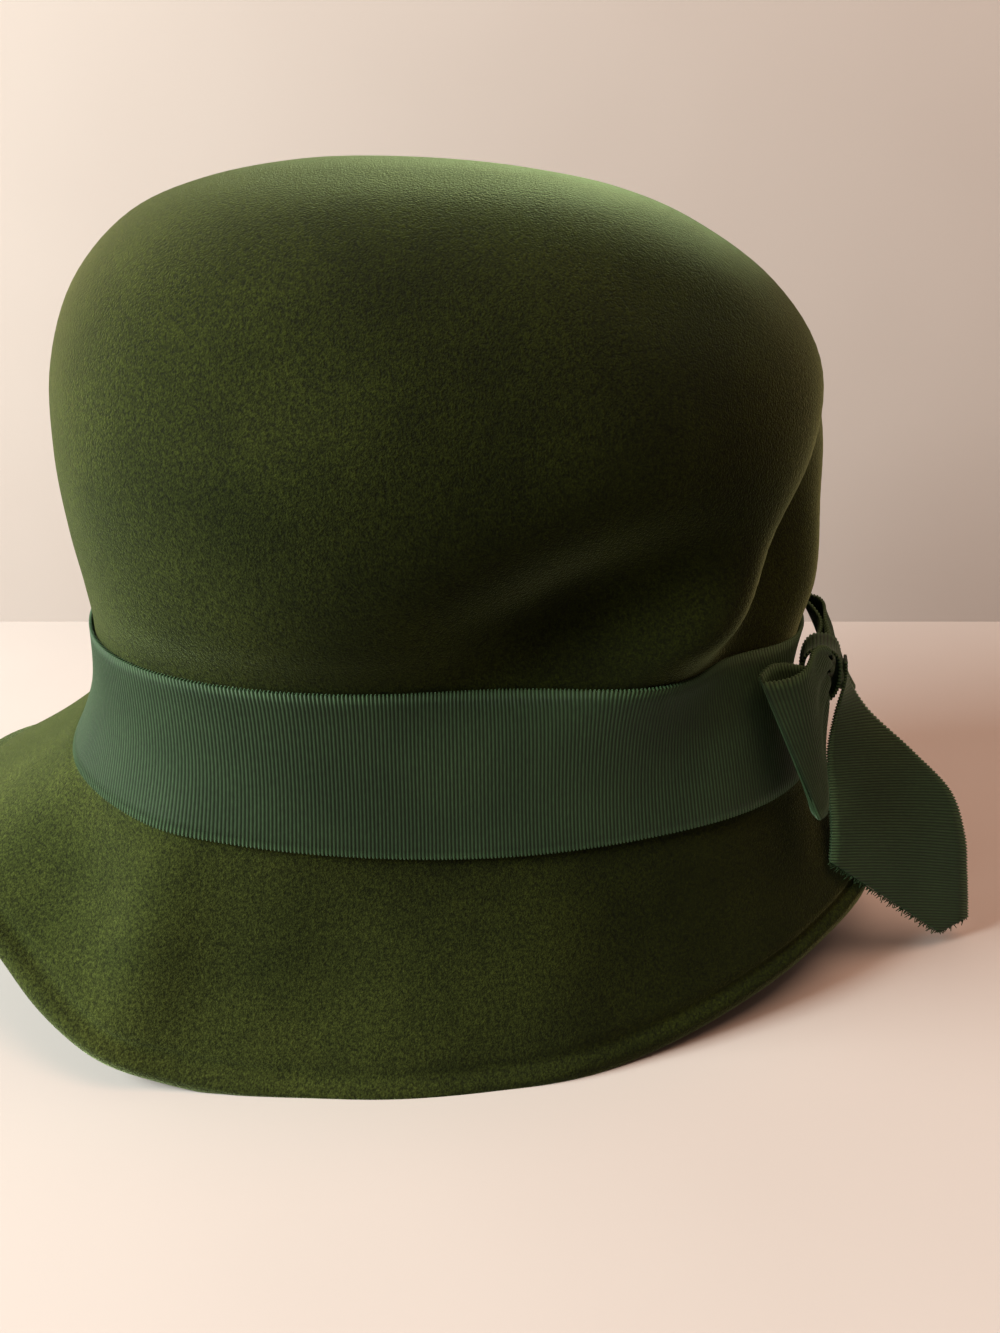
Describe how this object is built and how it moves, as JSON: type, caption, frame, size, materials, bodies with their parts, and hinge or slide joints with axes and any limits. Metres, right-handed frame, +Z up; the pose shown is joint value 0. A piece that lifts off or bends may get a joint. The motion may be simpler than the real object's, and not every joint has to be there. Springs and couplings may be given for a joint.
{
  "type": "cloche hat",
  "caption": "Velour felt cloche hat with a drooping brim, a wide grosgrain ribbon band and a small bow with one hanging tail at the back.",
  "frame": {"origin": "middle of the hat's bounding box in plan, on the surface the brim rests on", "axes": "+Z up through the crown, -Y to the front of the hat, +X to the wearer's left"},
  "size_m": [0.1966, 0.3014, 0.2161],
  "materials": {
    "felt": "brushed velour felt nap",
    "ribbon": "ribbed grosgrain, low sheen"
  },
  "bodies": {
    "root": {"felt_body": "felt", "hat_band": "ribbon", "bow_near_loop": "ribbon", "bow_far_loop": "ribbon", "bow_knot": "ribbon", "bow_tail": "ribbon"}
  },
  "joints": []
}
